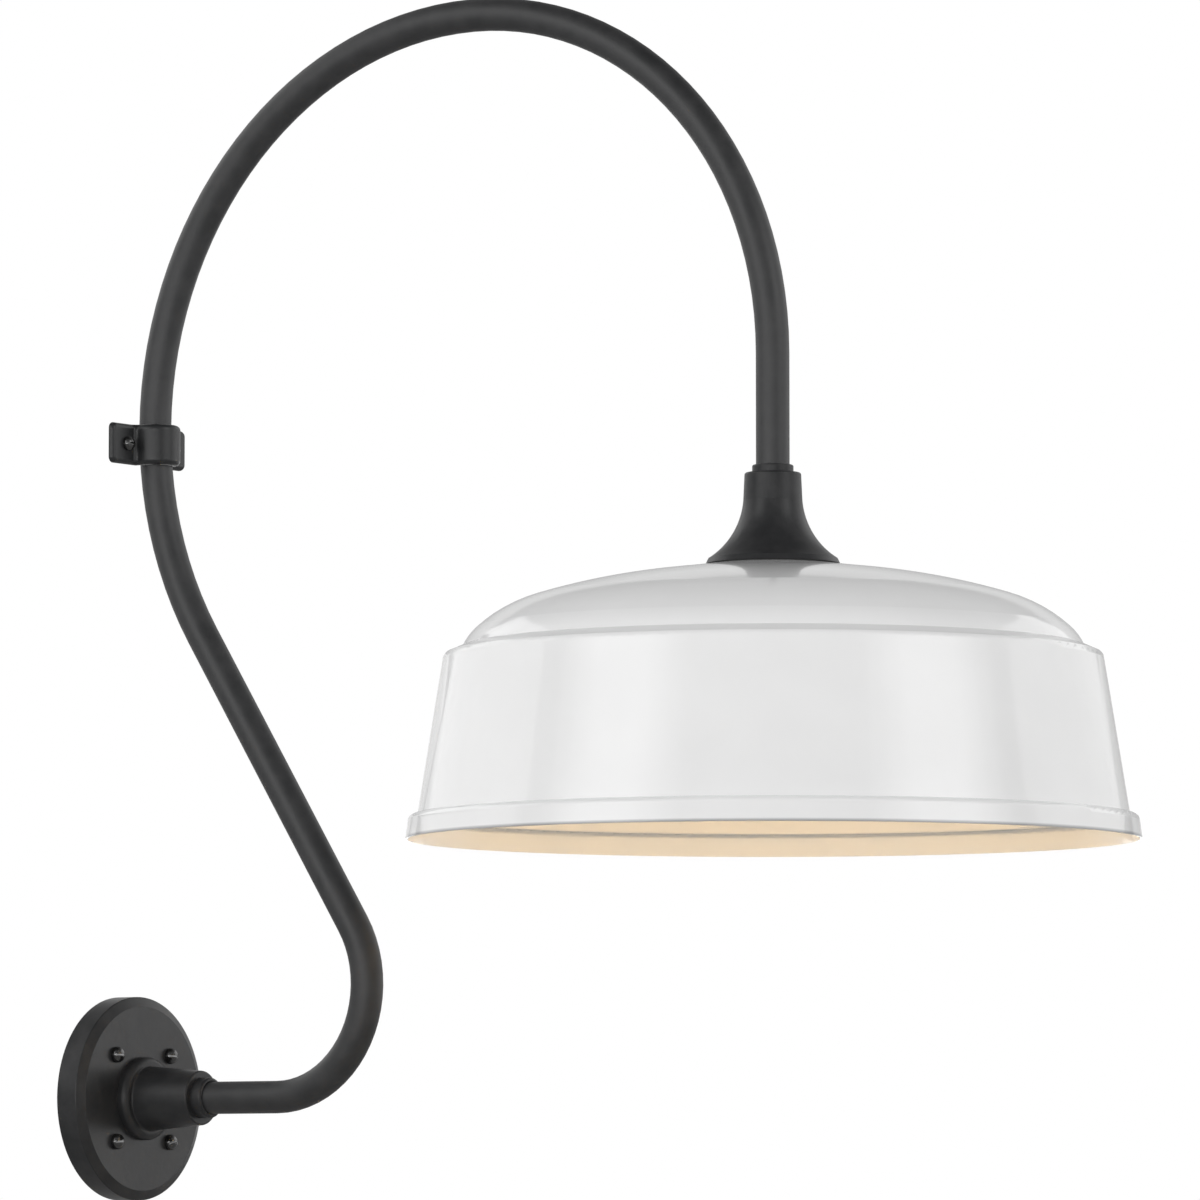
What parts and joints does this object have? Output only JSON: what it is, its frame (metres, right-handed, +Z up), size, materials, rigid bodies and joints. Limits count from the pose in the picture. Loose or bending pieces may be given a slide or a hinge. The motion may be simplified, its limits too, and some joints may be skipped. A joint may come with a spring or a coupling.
{
  "type": "barn light",
  "caption": "Wall-mounted barn light: wide white enamelled shade under a black bell fitter on a gooseneck tube, with a round canopy, a strap clamp and a screw-in lamp.",
  "frame": {"origin": "centre of the round canopy, in the plane of the wall that it sits on", "axes": "the wall is Y = 0 and the light stands out along -Y; +Z is up and the tube bends in the plane X = 0"},
  "size_m": [0.508, 0.8348, 0.8552],
  "materials": {
    "canopy_black": "satin black powder coat",
    "hub_black": "satin black powder coat",
    "arm_black": "satin black powder coat",
    "clamp_black": "satin black powder coat",
    "bell_black": "satin black powder coat",
    "screw_black": "gloss black lacquer",
    "shade_enamel": "gloss white enamel",
    "gasket_rubber": "matte",
    "zinc_steel": "bright zinc",
    "ground_green": "green dyed zinc",
    "brass": "bright",
    "lamp_metal": "bright",
    "porcelain": "gloss glaze",
    "lamp_frosted": "frosted",
    "lamp_black_glass": "gloss black glass",
    "bushing_nylon": "natural nylon",
    "wire_black": "matte sheath",
    "wire_white": "matte sheath",
    "wire_green": "matte sheath"
  },
  "bodies": {
    "fixture": {"canopy": "canopy_black", "wall_gasket": "gasket_rubber", "canopy_screws": "screw_black", "hub": "hub_black", "hub_washer": "zinc_steel", "hub_locknut": "zinc_steel", "wire_bushing": "bushing_nylon", "hub_ring": "hub_black", "ground_screw": "ground_green", "ground_lead": "wire_green", "arm": "arm_black", "hot_wire": "wire_black", "neutral_wire": "wire_white", "clamp_strap": "clamp_black", "clamp_screws": "screw_black", "neck_ring": "bell_black", "bell_fitter": "bell_black", "fitter_gasket": "gasket_rubber", "shade": "shade_enamel", "socket_plate": "zinc_steel", "fitter_screws": "zinc_steel", "socket_body": "porcelain", "socket_shell": "brass", "centre_contact": "brass", "socket_screws": "zinc_steel"},
    "lamp": {"lamp_base": "lamp_metal", "lamp_insulator": "lamp_black_glass", "lamp_tip": "lamp_metal", "lamp_glass": "lamp_frosted"}
  },
  "joints": [
    {"name": "lamp_turn", "type": "hinge", "parent": "fixture", "child": "lamp", "pos_m": [0, -0.5709, 0.33], "axis": [0, 0, 1], "continuous": true}
  ]
}
